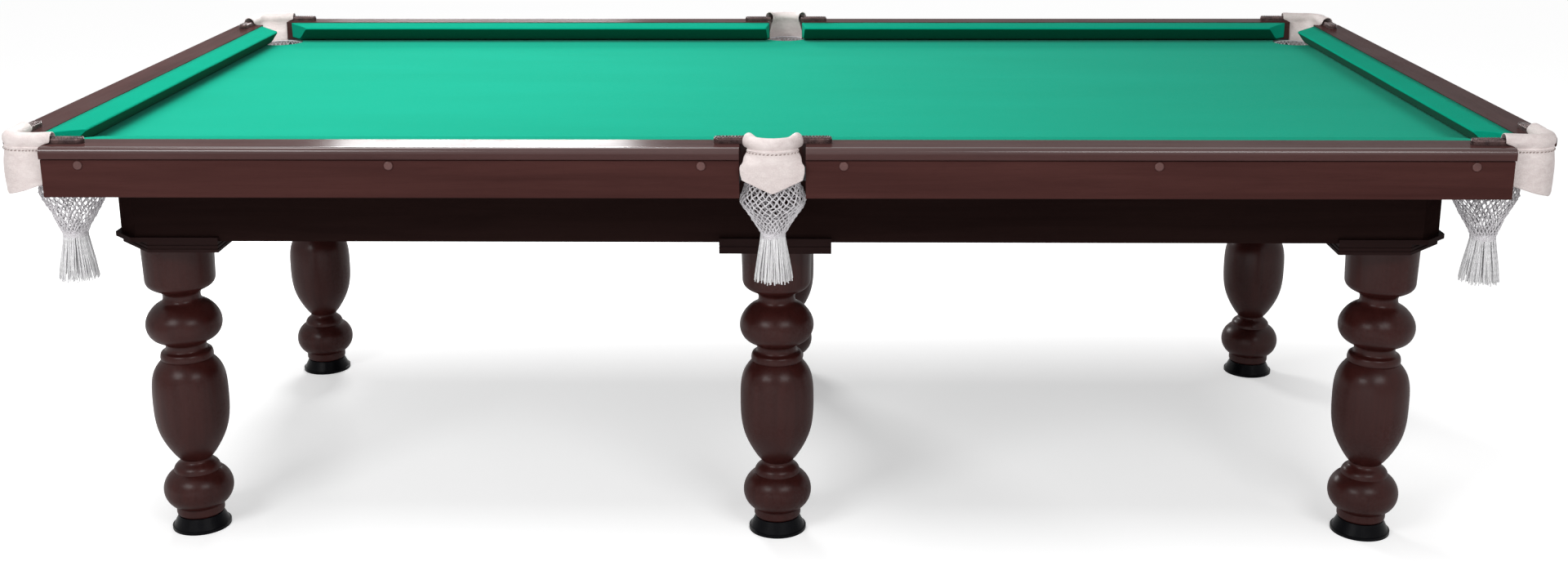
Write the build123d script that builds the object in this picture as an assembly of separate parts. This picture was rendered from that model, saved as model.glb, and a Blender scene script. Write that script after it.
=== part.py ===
from build123d import *
import math
import os

# Pocket billiard table on six turned legs. Millimetres, +Z up, +X along the table.
# The origin is on the floor under the middle of the bed; the front side is at -Y.

# Playing field, between the noses of facing cushions
field_length = 2540
field_width = 1270
bed_height = 807
cloth_thickness = 1

# Cushion section
nose_height = 37
nose_round = 3
cushion_depth = 55
cushion_rise = 5
cushion_undercut = 26
cushion_lift = 4

# Wooden rails and the fascia boards under their caps
rail_width = 70
rail_height = 43
cap_thickness = 22
cap_nosing = 9
cap_under_round = 4
fascia_setback = 6
fascia_thickness = 16
fascia_height = 68
fascia_shadow_gap = 1.5
fascia_edge_round = 3

# Pocket places and throats
corner_inset = 115
side_inset = 48
corner_mouth = 78
side_mouth = 98
side_rail_gap = 116
rail_throat_radius = 46.5
slate_throat_radius = 50

# Pocket irons: a round bow between two flat arms on the rails
bow_radius = 5
bow_setback = 38
corner_bend = 35
arm_width = 20
arm_round = 3.5
corner_arm_length = 68
side_arm_reach = 104
side_arm_overlap = 7

# Leather pocket covers
corner_roll_radius = 14
side_roll_radius = 12
roll_clearance = 1
roll_overlap = 12
seam_gap = 0.2
bore_gap = 0.3
leather_thickness = 4
leather_end_gap = 2
corner_flap_drop = 98
side_flap_drop = 85
flap_rise = 26
liner_thickness = 2.5
liner_inset = 4
liner_rim_straight = 8

# Pocket nets
net_gap = 0.3
net_wall = 3
net_rim_drop = 6
net_bulge_radius = 59.5
net_bulge_drop = 36
net_waist_radius = 23.5
net_floor_lift = 26
corner_net_drop = 116
side_net_drop = 96
tassel_radius = 35
tassel_length = 88

# Slate bed
slate_thickness = 25
slate_count = 3
slate_edge_gap = 2
slate_screw_radius = 3.5
slate_screw_head_radius = 7
slate_screw_head_height = 5
slate_screw_length = 60
slate_screw_end_distance = 60

# Rail bolts, up through the slate into the rails
rail_bolt_radius = 5
rail_bolt_head_width = 16
rail_bolt_head_height = 7
rail_bolt_depth = 28
rail_bolt_end_distance = 200
rail_bolts_per_rail = 3
bolt_clearance = 0.3

# Fascia screws and the round caps over them
fascia_screw_radius = 2.5
fascia_screw_head_radius = 5
fascia_screw_head_height = 4
fascia_screw_bite = 15
fascia_screw_drop = 9
fascia_screw_end_distance = 66
fascia_screws_per_rail = 3
screw_cap_radius = 8
screw_cap_height = 3
screw_cap_round = 2

# Base frame, set back from the edges of the slate
frame_end_setback = 121
frame_side_setback = 177
frame_depth = 157
beam_thickness = 40
frame_chamfer = 45
cross_beam_thickness = 40
cross_beam_height = 100
leg_block_size = 112
leg_block_height = 60
middle_beam_gap = 4

# Leg plates
plate_size = 210
plate_thickness = 20
plate_lip = 9
plate_overhang = 8
plate_chamfer = 76
groove_depth = 1.5
groove_height = 2.5
groove_spacing = 7

# Turned legs: elements from the foot up, where the vase takes the rest of the height
leg_setback_x = 83
leg_setback_y = 100
socle_radius = 46.3
socle_height = 19
socle_round = 7
ball_radius = 67.4
ball_height = 74.5
ball_end_radius = 45
lower_bead_height = 25.5
lower_neck_radius = 30.4
vase_radius = 72.3
vase_top_radius = 48.5
upper_bead_height = 27
upper_bead_radius = 50.3
upper_neck_radius = 38.6
bulb_height = 103
bulb_radius = 72.3
capital_neck_radius = 35.5
capital_cove_height = 37
capital_radius = 66.5
capital_top_radius = 68.5
capital_height = 80

# Hanger bolts and nuts that hold the legs
leg_bolt_radius = 8
leg_bolt_depth = 80
leg_bolt_end = 6
leg_nut_width = 24
leg_nut_height = 13

# Levelling feet
foot_height = 28
foot_gap = 0.3
foot_base_radius = 57
foot_rim_height = 6
foot_shoulder = 2.5
foot_top_radius = 44
swivel_height = 14
swivel_radius = 10
running_gap = 0.3
stud_neck_radius = 7
stud_radius = 8
stud_length = 55
hex_width = 24
hex_height = 9
hex_recess_radius = 16
hex_recess_gap = 1
insert_radius = 13
insert_length = 36
insert_gap = 0.2
stud_hole_radius = 10
stud_hole_room = 6

# Lines of the plan, for the quarter at +X +Y
nose_x = field_length / 2
nose_y = field_width / 2
wood_x = nose_x + cushion_depth
wood_y = nose_y + cushion_depth
rail_x = wood_x + rail_width
rail_y = wood_y + rail_width
fascia_x = rail_x - fascia_setback
fascia_y = rail_y - fascia_setback
blank_x = fascia_x - fascia_thickness
blank_y = fascia_y - fascia_thickness
slate_x = blank_x - slate_edge_gap
slate_y = blank_y - slate_edge_gap
corner_x = rail_x - corner_inset
corner_y = rail_y - corner_inset
side_y = rail_y - side_inset
side_gap_x = side_rail_gap / 2
frame_x = slate_x - frame_end_setback
frame_y = slate_y - frame_side_setback
leg_x = frame_x - leg_setback_x
leg_y = frame_y - leg_setback_y
corner_bow = corner_inset - bow_setback
corner_straight = corner_bow - corner_bend
side_bow = side_gap_x - roll_clearance - side_roll_radius

# Heights
rail_top = bed_height + rail_height
cap_bottom = rail_top - cap_thickness
fascia_top = cap_bottom - fascia_shadow_gap
fascia_bottom = fascia_top - fascia_height
fascia_screw_z = fascia_top - fascia_screw_drop
slate_top = bed_height - cloth_thickness
slate_bottom = slate_top - slate_thickness
iron_z = rail_top + bow_radius
lining_top = iron_z - bow_radius
net_top = slate_top - net_rim_drop
net_rim_radius = slate_throat_radius - net_gap
frame_bottom = slate_bottom - frame_depth
plate_bottom = frame_bottom - plate_thickness
block_top = frame_bottom + leg_block_height
hex_top = foot_height + hex_height
insert_bottom = hex_top + hex_recess_gap
insert_top = insert_bottom + insert_length
stud_top = hex_top + stud_length

SIDES_X = {"left": -1, "right": 1}
SIDES_Y = {"front": -1, "back": 1}
COLUMNS = {"left": -1, "middle": 0, "right": 1}


def half_chord(radius, offset):
    """Half the chord that a circle cuts from a line, nought where it misses the line."""
    return math.sqrt(max(radius**2 - offset**2, 0))


def spread(start, end, margin, count):
    """Evenly spaced places between two ends, the first and last a margin inside them."""
    step = (end - start - 2 * margin) / (count - 1)
    return [start + margin + step * index for index in range(count)]


def upright(radius, bottom, top):
    """A round bar standing on the Z axis between two heights."""
    return extrude(Pos(0, 0, bottom) * Circle(radius), top - bottom)


def hex_bar(width, bottom, top):
    """A six-sided bar on the Z axis, measured across its flats."""
    return extrude(Pos(0, 0, bottom) * RegularPolygon(width / 2, 6, major_radius=False), top - bottom)


def slab(face, bottom, top):
    """A plan outline raised between two heights."""
    return extrude(Pos(0, 0, bottom) * face, top - bottom)


def along_x(section, start, end):
    """A section in Y and Z drawn out along X."""
    return extrude(Plane.YZ.offset(start) * section, end - start)


def along_y(section, half_length):
    """A section in X and Z drawn out both ways along Y."""
    return extrude(Plane.XZ * section, half_length, both=True)


def turned(*lines):
    """A piece turned on the Z axis from its half outline in X and Z."""
    outline = Curve() + list(lines)
    return revolve(make_face(Plane.XZ * outline), Axis.Z)


def on_side(shape, x_side, y_side):
    """A shape of the +X +Y quarter, set on another side of the table."""
    if x_side < 0:
        shape = mirror(shape, about=Plane.YZ)
    if y_side < 0:
        shape = mirror(shape, about=Plane.XZ)
    return shape


def rounded_at(face, point, radius):
    """A flat outline with the corner nearest a point rounded off."""
    corner = face.vertices().sort_by_distance(point)[0]
    return fillet(corner, radius)


def rail_places(start, end):
    """Places of the rail bolts along a rail."""
    return spread(start, end, rail_bolt_end_distance, rail_bolts_per_rail)


def screw_places(start, end):
    """Places of the fascia screws along a rail."""
    return spread(start, end, fascia_screw_end_distance, fascia_screws_per_rail)


# Places of the fixings, each as a location whose X points out of the table

def outward_long(x, y, z):
    """A place on the back side, with its X axis pointing out at +Y."""
    return Location(Plane(origin=(x, y, z), x_dir=(0, 1, 0), z_dir=(0, 0, 1)))


def long_screw_spots():
    return [outward_long(x, fascia_y, fascia_screw_z) for x in screw_places(side_gap_x, corner_x)]


def end_screw_spots():
    return [Pos(fascia_x, y, fascia_screw_z) for y in screw_places(-corner_y, corner_y)]


def long_bolt_spots():
    return [Pos(x, (wood_y + blank_y) / 2, bed_height) for x in rail_places(side_gap_x, corner_x)]


def end_bolt_spots():
    return [Pos((wood_x + blank_x) / 2, y, bed_height) for y in rail_places(-corner_y, corner_y)]


# Fixings

def rail_bolt(gap):
    """Bolt through the slate, at its place on the bed; a gap turns it into its own hole."""
    below = slate_bottom - bed_height
    bolt = upright(rail_bolt_radius + gap, below, rail_bolt_depth + gap)
    return bolt + hex_bar(rail_bolt_head_width + gap, below - rail_bolt_head_height, below)


def fascia_screw(gap):
    """Screw through a fascia into the rail, driven along -X from the fascia's face."""
    inwards = Plane(origin=(0, 0, 0), x_dir=(0, 1, 0), z_dir=(-1, 0, 0))
    head = extrude(inwards * Circle(fascia_screw_head_radius + gap), fascia_screw_head_height)
    shank_length = fascia_thickness + fascia_screw_bite + gap
    return head + extrude(inwards * Circle(fascia_screw_radius + gap), shank_length)


def screw_cap():
    """Round cap on a fascia's face over a screw."""
    cap = extrude(Plane.YZ * Circle(screw_cap_radius), screw_cap_height)
    rim = cap.edges().sort_by(Axis.X)[-1]
    return fillet(rim, screw_cap_round)


def slate_screw(gap):
    """Countersunk screw from the top of the slate at its place there."""
    head = Circle(slate_screw_radius + gap)
    cone = loft([Pos(0, 0, -slate_screw_head_height) * head, Circle(slate_screw_head_radius + gap)])
    return cone + upright(slate_screw_radius + gap, -slate_screw_length - gap, 0)


def slate_screw_spots():
    """Screws along both long beams, two from each slate into each beam."""
    width = 2 * slate_x / slate_count
    spots = []
    for index in range(slate_count):
        start = max(-slate_x + index * width, -frame_x)
        end = min(-slate_x + (index + 1) * width, frame_x)
        for x in spread(start, end, slate_screw_end_distance, 2):
            for y_side in SIDES_Y.values():
                spots.append(Pos(x, y_side * (frame_y - beam_thickness / 2), slate_top))
    return spots


# Rails, fascias and cushions

def throat(x, y):
    """The round space of a pocket between the rails' ends."""
    return Pos(x, y, 0) * upright(rail_throat_radius, bed_height, rail_top)


def rail_section(wood, blank, outer):
    """Rail from the cushion's seat to the bullnosed edge of its cap."""
    outline = Polyline(
        (wood, bed_height),
        (blank, bed_height),
        (blank, cap_bottom),
        (outer, cap_bottom),
        (outer, rail_top),
        (wood, rail_top),
        close=True,
    )
    face = rounded_at(make_face(outline), (outer, rail_top), cap_nosing)
    return rounded_at(face, (outer, cap_bottom), cap_under_round)


def long_rail():
    """Right half of the back rail, from the side pocket to the corner pocket."""
    start = half_chord(rail_throat_radius, side_y - wood_y)
    rail = along_x(rail_section(wood_y, blank_y, rail_y), start, corner_x)
    rail -= throat(corner_x, corner_y) + throat(0, side_y)
    notch = Rectangle(side_gap_x, side_inset, align=(Align.MIN, Align.MIN))
    rail -= slab(Pos(0, side_y) * notch, bed_height, rail_top)
    for spot in long_bolt_spots():
        rail -= spot * rail_bolt(bolt_clearance)
    for spot in long_screw_spots():
        rail -= spot * fascia_screw(bolt_clearance)
    return rail


def end_rail():
    """Right end rail, between its two corner pockets."""
    rail = along_y(rail_section(wood_x, blank_x, rail_x), corner_y)
    rail -= throat(corner_x, corner_y) + throat(corner_x, -corner_y)
    for spot in end_bolt_spots():
        rail -= spot * rail_bolt(bolt_clearance)
    for spot in end_screw_spots():
        rail -= spot * fascia_screw(bolt_clearance)
    return rail


def fascia_section(inner, outer):
    """Board with its lower front edge rounded."""
    outline = Polyline(
        (inner, fascia_bottom),
        (outer, fascia_bottom),
        (outer, fascia_top),
        (inner, fascia_top),
        close=True,
    )
    return rounded_at(make_face(outline), (outer, fascia_bottom), fascia_edge_round)


def long_fascia():
    """Board under the right half of the back rail."""
    board = along_x(fascia_section(blank_y, fascia_y), side_gap_x, corner_x)
    for spot in long_screw_spots():
        board -= spot * fascia_screw(bolt_clearance)
    return board


def end_fascia():
    """Board under the right end rail."""
    board = along_y(fascia_section(blank_x, fascia_x), corner_y)
    for spot in end_screw_spots():
        board -= spot * fascia_screw(bolt_clearance)
    return board


def cushion_section(nose, wood, skin):
    """Cushion from its nose to the wood, drawn in under its cover by the given skin."""
    outline = Polyline(
        (nose, bed_height + nose_height),
        (wood + skin, bed_height + nose_height + cushion_rise),
        (wood + skin, bed_height + cushion_lift),
        (nose + cushion_undercut, bed_height + cushion_lift),
        close=True,
    )
    face = rounded_at(make_face(outline), (nose, bed_height + nose_height), nose_round)
    return offset(face, -skin) if skin else face


def jaw_plan(nose_start, nose_end, wood_start, wood_end, nose, wood):
    """Plan of a cushion whose ends run from its nose to the ends of the wood."""
    corners = [(nose_start, nose), (nose_end, nose), (wood_end, wood), (wood_start, wood)]
    return make_face(Polyline(*corners, close=True))


def long_cushion(skin):
    """Cushion of the right half of the back rail."""
    tip = nose_x - corner_mouth / math.sqrt(2) - skin
    seat_end = corner_x - half_chord(rail_throat_radius, corner_inset - rail_width) - skin
    seat_start = half_chord(rail_throat_radius, side_y - wood_y) + skin
    plan = jaw_plan(side_mouth / 2 + skin, tip, seat_start, seat_end, nose_y, wood_y)
    body = along_x(cushion_section(nose_y, wood_y, skin), 0, rail_x)
    return body & slab(plan, bed_height, rail_top)


def end_cushion(skin):
    """Cushion of the right end rail."""
    tip = nose_y - corner_mouth / math.sqrt(2) - skin
    seat = corner_y - half_chord(rail_throat_radius, corner_inset - rail_width) - skin
    plan = mirror(jaw_plan(-tip, tip, -seat, seat, nose_x, wood_x), about=Plane.YZ)
    body = along_y(cushion_section(nose_x, wood_x, skin), rail_y)
    return body & slab(Rot(0, 0, -90) * plan, bed_height, rail_top)


def six_sides(long_piece, end_piece):
    """Both halves of both long sides, then both ends."""
    pieces = [on_side(long_piece, x, y) for x in SIDES_X.values() for y in SIDES_Y.values()]
    return pieces + [on_side(end_piece, x, 1) for x in SIDES_X.values()]


# Slate bed and its cloth

def bed_plan():
    """Plan of the bed with a round notch, open to the outside, at each pocket."""
    plan = Rectangle(2 * slate_x, 2 * slate_y)
    corner_cut = Rectangle(corner_inset, corner_inset, align=(Align.MIN, Align.MIN))
    side_cut = Rectangle(side_rail_gap, side_inset, align=(Align.CENTER, Align.MIN))
    corner_notch = Pos(corner_x, corner_y) * (Circle(slate_throat_radius) + corner_cut)
    side_notch = Pos(0, side_y) * (Circle(slate_throat_radius) + side_cut)
    for y_side in SIDES_Y.values():
        plan -= on_side(side_notch, 1, y_side)
        for x_side in SIDES_X.values():
            plan -= on_side(corner_notch, x_side, y_side)
    return plan


def drilled_slates():
    """The slates from left to right, with the holes for their screws and the rail bolts."""
    holes = [spot * slate_screw(bolt_clearance) for spot in slate_screw_spots()]
    bolts = [spot * rail_bolt(bolt_clearance) for spot in long_bolt_spots()]
    end_bolts = [spot * rail_bolt(bolt_clearance) for spot in end_bolt_spots()]
    for x_side in SIDES_X.values():
        holes += [on_side(bolt, x_side, 1) for bolt in end_bolts]
        for y_side in SIDES_Y.values():
            holes += [on_side(bolt, x_side, y_side) for bolt in bolts]
    bed = slab(bed_plan(), slate_bottom, slate_top)
    width = 2 * slate_x / slate_count
    slates = []
    for index in range(slate_count):
        part = Rectangle(width, 2 * slate_y, align=(Align.MIN, Align.CENTER))
        slate = bed & slab(Pos(-slate_x + index * width, 0) * part, slate_bottom, slate_top)
        slates.append(slate - holes)
    return slates


def bed_cloth():
    """One cloth over all the slates, with holes where the rail bolts pass."""
    cloth = slab(bed_plan(), slate_top, bed_height)
    for piece in six_sides(long_bolt_group(bolt_clearance), end_bolt_group(bolt_clearance)):
        cloth -= piece
    return cloth


def long_bolt_group(gap):
    return Compound(children=[spot * rail_bolt(gap) for spot in long_bolt_spots()])


def end_bolt_group(gap):
    return Compound(children=[spot * rail_bolt(gap) for spot in end_bolt_spots()])


# Pockets, about their centre with +X pointing out of the table

def ring_part(section, half_angle):
    """A section in X and Z carried round the pocket's centre, evenly about +X."""
    return Rot(0, 0, -half_angle) * revolve(Plane.XZ * section, Axis.Z, 2 * half_angle)


def corner_run(section, start):
    """A section beside the corner bow's line, carried along it from a distance past each rail's end."""
    run = extrude(Plane.XZ.offset(-start) * (Pos(corner_bow, 0) * section), start - corner_straight)
    side = Rot(0, 0, -45) * run
    bend = revolve(Plane.XZ * (Pos(corner_bend, 0) * section), Axis.Z, 90)
    turn = Rot(0, 0, -45) * Pos(corner_straight, corner_straight, 0) * bend
    return turn + side + mirror(side, about=Plane.XZ)


def iron_arm(length, start, gap):
    """Flat arm along +Y with a round end and a softened top; a gap turns it into its own room."""
    width = arm_width + 2 * gap
    straight = length - arm_width / 2
    plan = Pos(0, start) * Rectangle(width, straight - start, align=(Align.CENTER, Align.MIN))
    plan += Pos(0, straight) * Circle(width / 2)
    arm = slab(plan, rail_top, rail_top + 2 * bow_radius + gap)
    return fillet(arm.faces().sort_by(Axis.Z)[-1].edges(), arm_round)


def corner_iron(gap):
    """Iron with a bow square to both rails and arms that run on along them."""
    arm = Rot(0, 0, 45) * Pos(corner_bow, 0, 0) * iron_arm(corner_arm_length, 0, gap)
    bow = corner_run(Pos(0, iron_z) * Circle(bow_radius + gap), 0)
    return bow + arm + mirror(arm, about=Plane.XZ)


def side_iron(gap):
    """Iron with a round bow and arms that turn aside along the two halves of the rail."""
    arm = iron_arm(side_arm_reach, side_bow - side_arm_overlap, gap)
    bow = ring_part(Pos(side_bow, iron_z) * Circle(bow_radius + gap), 90)
    return bow + arm + mirror(arm, about=Plane.XZ)


def flap_face(roll, drop):
    """Section of a flap that is sewn to the roll half its radius down and hangs from its outside."""
    face = Rectangle(leather_thickness, drop - roll / 2, align=(Align.MAX, Align.MAX))
    return Pos(roll, iron_z - roll / 2) * face


def under_flap(half_width, drop):
    """The space below a flap's pointed lower edge."""
    point = iron_z - drop
    below = make_face(
        Polyline(
            (0, point),
            (half_width, point + flap_rise),
            (half_width, 0),
            (-half_width, 0),
            (-half_width, point + flap_rise),
            close=True,
        )
    )
    return along_x(below, 0, 2 * corner_inset)


def corner_line(side, straight):
    """Line across both rails' ends and round the corner between them, in three stretches."""
    first = Line((side, leather_end_gap), (side, straight))
    turn = CenterArc((straight, straight), side - straight, 0, 90)
    return [first, turn, Line((straight, side), (leather_end_gap, side))]


def corner_strip(side, straight, height):
    """Flat strip as wide as the lining is thick, inside a line round the corner."""
    outer = corner_line(side, straight)
    inner = corner_line(side - liner_thickness, straight)
    ends = [Line(outer[0] @ 0, inner[0] @ 0), Line(outer[-1] @ 1, inner[-1] @ 1)]
    return Pos(0, 0, height) * make_face(Curve() + outer + inner + ends)


def corner_lining():
    """Sheet from the inside of the corner roll down to the rounder rim of the net."""
    top = corner_strip(corner_bow - corner_roll_radius + liner_inset, corner_straight, lining_top)
    rim = corner_strip(net_rim_radius, liner_rim_straight, net_top + net_gap)
    return Rot(0, 0, -45) * loft([rim, top])


def corner_roll(gap):
    """Leather rolled round the corner bow; a gap turns it into its own room."""
    return corner_run(Pos(0, iron_z) * Circle(corner_roll_radius + gap), -roll_overlap)


def side_roll(half_angle, gap):
    """Leather rolled round the side bow; a gap turns it into its own room."""
    return ring_part(Pos(side_bow, iron_z) * Circle(side_roll_radius + gap), half_angle)


def corner_leather():
    """Cover rolled round the corner bow, with a flap outside and a lining inside."""
    roll = corner_roll(0)
    outward = Rectangle(corner_inset, corner_inset, align=(Align.MIN, Align.MIN))
    rails = Rectangle(2 * corner_inset, 2 * corner_inset)
    rails -= Pos(leather_end_gap, leather_end_gap) * outward
    roll -= Rot(0, 0, -45) * slab(rails, iron_z - corner_roll_radius, rail_top)
    flap = corner_run(flap_face(corner_roll_radius, corner_flap_drop), leather_end_gap)
    flap -= under_flap(corner_bow, corner_flap_drop)
    room = corner_roll(seam_gap)
    return group([roll - corner_iron(bore_gap), flap - room, corner_lining() - room])


def side_leather():
    """Cover rolled round the side bow, with a flap outside and a lining inside."""
    arm_edge = arm_width / 2 + leather_end_gap
    half_angle = 90 - math.degrees(math.asin(arm_edge / (side_bow - side_arm_overlap)))
    flap = ring_part(Pos(side_bow, 0) * flap_face(side_roll_radius, side_flap_drop), half_angle)
    flap -= under_flap(side_bow + side_roll_radius, side_flap_drop)
    top_radius = side_bow - side_roll_radius + liner_inset
    lining = make_face(
        Polyline(
            (top_radius, lining_top),
            (top_radius + liner_thickness, lining_top),
            (net_rim_radius, net_top + net_gap),
            (net_rim_radius - liner_thickness, net_top + net_gap),
            close=True,
        )
    )
    room = side_roll(half_angle, seam_gap)
    roll = side_roll(half_angle, 0) - side_iron(bore_gap)
    return group([roll, flap - room, ring_part(lining, half_angle) - room])


def bag_side(drop, shrink):
    """Line of a net bag from the slate down over its bulge to its waist."""
    down = (0, -1)
    return Spline(
        (net_rim_radius - shrink, slate_bottom),
        (net_bulge_radius - shrink, slate_bottom - net_bulge_drop),
        (net_waist_radius - shrink, slate_bottom - drop),
        tangents=[down, down],
    )


def pocket_net(drop):
    """Bag that hangs from the slate's notch, drawn in to a waist above a tassel."""
    waist = slate_bottom - drop
    bottom = waist - tassel_length
    floor = waist + net_floor_lift
    up = (0, 1)
    body = turned(
        Polyline((0, net_top), (0, bottom), (tassel_radius, bottom)),
        Spline((tassel_radius, bottom), (net_waist_radius, waist), tangents=[up, up]),
        bag_side(drop, 0),
        Polyline((net_rim_radius, slate_bottom), (net_rim_radius, net_top), (0, net_top)),
    )
    mouth = net_rim_radius - net_wall
    hollow = turned(
        bag_side(drop, net_wall),
        Polyline((mouth, slate_bottom), (mouth, net_top), (0, net_top), (0, waist),
                 (net_waist_radius - net_wall, waist)),
    )
    return body - (hollow & upright(net_bulge_radius, floor, net_top))


# Base frame

def cornered(margin, cut):
    """Plan of the frame widened by a margin, with its four corners cut off at 45 degrees."""
    plan = Rectangle(2 * (frame_x + margin), 2 * (frame_y + margin))
    return chamfer(plan.vertices(), cut)


def frame_outline():
    return cornered(0, frame_chamfer)


def long_beams():
    """Front and back beams, over the whole length, drilled for the slate screws."""
    beams = []
    for y_side in SIDES_Y.values():
        place = Pos(0, y_side * (frame_y - beam_thickness / 2))
        plan = (place * Rectangle(2 * frame_x, beam_thickness)) & frame_outline()
        beam = slab(plan, frame_bottom, slate_bottom)
        beams.append(beam - [spot * slate_screw(bolt_clearance) for spot in slate_screw_spots()])
    return beams


def end_beams():
    """Left and right beams, between the long ones."""
    beams = []
    length = 2 * (frame_y - beam_thickness)
    for x_side in SIDES_X.values():
        place = Pos(x_side * (frame_x - beam_thickness / 2), 0)
        plan = (place * Rectangle(beam_thickness, length)) & frame_outline()
        beams.append(slab(plan, frame_bottom, slate_bottom))
    return beams


def cross_beams():
    """Beams under the joints of the slates and on both sides of the middle legs."""
    middle = leg_block_size / 2 + middle_beam_gap + cross_beam_thickness / 2
    joint = slate_x / slate_count
    plan = Rectangle(cross_beam_thickness, 2 * (frame_y - beam_thickness))
    places = [-joint, -middle, middle, joint]
    return [slab(Pos(x, 0) * plan, slate_bottom - cross_beam_height, slate_bottom) for x in places]


def leg_spots():
    """Place of each leg by name."""
    spots = {}
    for row, y_side in SIDES_Y.items():
        for column, x_side in COLUMNS.items():
            spots[row + "_" + column] = (x_side * leg_x, y_side * leg_y)
    return spots


def leg_blocks():
    """Blocks inside the frame that the hanger bolts pass through."""
    inside_x = frame_x - beam_thickness - leg_block_size / 2
    inside_y = frame_y - beam_thickness - leg_block_size / 2
    blocks = []
    for x_side in COLUMNS.values():
        for y_side in SIDES_Y.values():
            plan = Pos(x_side * inside_x, y_side * inside_y) * Rectangle(leg_block_size, leg_block_size)
            hole = Pos(x_side * leg_x, y_side * leg_y) * Circle(leg_bolt_radius + bolt_clearance)
            blocks.append(slab(plan - hole, frame_bottom, block_top))
    return blocks


def leg_plate(x_side, y_side):
    """Plate under the frame, with a lip up its outer faces and fine grooves round its edge."""
    centre_x = x_side * (frame_x + plate_overhang - plate_size / 2)
    centre_y = y_side * (frame_y + plate_overhang - plate_size / 2)
    square = Pos(centre_x, centre_y) * Rectangle(plate_size, plate_size)
    lip = (square & cornered(plate_overhang, frame_chamfer)) - frame_outline()
    plan = square & cornered(plate_overhang, plate_chamfer)
    plate = slab(plan, plate_bottom, frame_bottom) + slab(lip, frame_bottom, frame_bottom + plate_lip)
    grooves = 2 if x_side else 1
    core = offset(plan, -groove_depth, kind=Kind.INTERSECTION)
    for index in range(grooves):
        bottom = frame_bottom - (index + 1) * groove_spacing
        plate -= slab(plan - core, bottom, bottom + groove_height)
    hole = Pos(x_side * leg_x, y_side * leg_y) * Circle(leg_bolt_radius + bolt_clearance)
    return plate - slab(hole, plate_bottom, frame_bottom)


# Legs and feet, on the Z axis

def swell(bottom, height, radius, *shares):
    """Points of a turned curve, each at a share of its height and of its radius."""
    return [(radius * across, bottom + height * along) for along, across in shares]


def leg_outline():
    """Half outline of the turned leg, from the middle of its foot to the middle of its top."""
    ball_bottom = foot_height + socle_height
    ball_top = ball_bottom + ball_height
    lower_neck = ball_top + lower_bead_height
    cove_top = plate_bottom - capital_height
    capital_neck = cove_top - capital_cove_height
    upper_neck = capital_neck - bulb_height
    vase_top = upper_neck - upper_bead_height
    vase_height = vase_top - lower_neck
    lower_bead = swell(ball_top, lower_bead_height, ball_end_radius, (0.61, 0.82))
    vase = swell(lower_neck, vase_height, vase_radius, (0.095, 0.63), (0.29, 0.9), (0.62, 1), (0.84, 0.95))
    upper_bead = swell(vase_top, upper_bead_height, upper_bead_radius, (0.3, 1), (0.6, 0.94))
    bulb = swell(upper_neck, bulb_height, bulb_radius, (0.14, 0.75), (0.46, 1), (0.75, 0.82), (0.85, 0.65))
    cove = swell(capital_neck, capital_cove_height, capital_radius, (0.42, 0.75))
    up = (0, 1)
    outward = (1, 1)
    inward = (-1, 1)
    socle_start = (socle_radius - socle_round, foot_height)
    socle_side = (socle_radius, foot_height + socle_round)
    socle_end = (socle_radius, ball_bottom)
    ball_middle = (ball_radius, ball_bottom + ball_height / 2)
    ball_end = (ball_end_radius, ball_top)
    waist = (lower_neck_radius, lower_neck)
    vase_end = (vase_top_radius, vase_top)
    collar = (upper_neck_radius, upper_neck)
    throat_ring = (capital_neck_radius, capital_neck)
    capital_foot = (capital_radius, cove_top)
    return [
        Line((0, foot_height), socle_start),
        RadiusArc(socle_start, socle_side, -socle_round),
        Line(socle_side, socle_end),
        ThreePointArc(socle_end, ball_middle, ball_end),
        Spline(ball_end, *lower_bead, waist, tangents=[up, up]),
        Spline(waist, *vase, vase_end, tangents=[outward, inward]),
        Spline(vase_end, *upper_bead, collar, tangents=[outward, up]),
        Spline(collar, *bulb, throat_ring, tangents=[up, up]),
        Spline(throat_ring, *cove, capital_foot, tangents=[up, up]),
        Polyline(capital_foot, (capital_top_radius, plate_bottom), (0, plate_bottom)),
        Line((0, plate_bottom), (0, foot_height)),
    ]


def leg():
    """Turned leg, drilled for its hanger bolt and for the insert and stud of its foot."""
    body = turned(*leg_outline())
    body -= upright(leg_bolt_radius + bolt_clearance, plate_bottom - leg_bolt_depth, plate_bottom)
    body -= upright(hex_recess_radius, foot_height, insert_bottom)
    body -= upright(insert_radius + insert_gap, insert_bottom, insert_top)
    return body - upright(stud_hole_radius, insert_top, stud_top + stud_hole_room)


def leg_bolt():
    """Hanger bolt from the leg through the plate and the block."""
    return upright(leg_bolt_radius, plate_bottom - leg_bolt_depth, block_top + leg_nut_height + leg_bolt_end)


def leg_nut():
    """Nut on top of the block."""
    nut = hex_bar(leg_nut_width, block_top, block_top + leg_nut_height)
    return nut - upright(leg_bolt_radius + bolt_clearance, block_top, block_top + leg_nut_height)


def leg_insert():
    """Threaded sleeve in the foot of a leg, left plain inside."""
    sleeve = upright(insert_radius, insert_bottom, insert_top)
    return sleeve - upright(stud_radius + running_gap, insert_bottom, insert_top)


def foot_pad():
    """Conical pad with the socket of the stud's ball."""
    top = foot_height - foot_gap
    shoulder = foot_base_radius - foot_shoulder
    pad = turned(
        Polyline(
            (0, 0),
            (foot_base_radius, 0),
            (foot_base_radius, foot_rim_height),
            (shoulder, foot_rim_height),
            (foot_top_radius, top),
            (0, top),
            close=True,
        )
    )
    pad -= Pos(0, 0, swivel_height) * Sphere(swivel_radius + running_gap)
    return pad - upright(stud_neck_radius + running_gap, swivel_height, foot_height)


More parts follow.
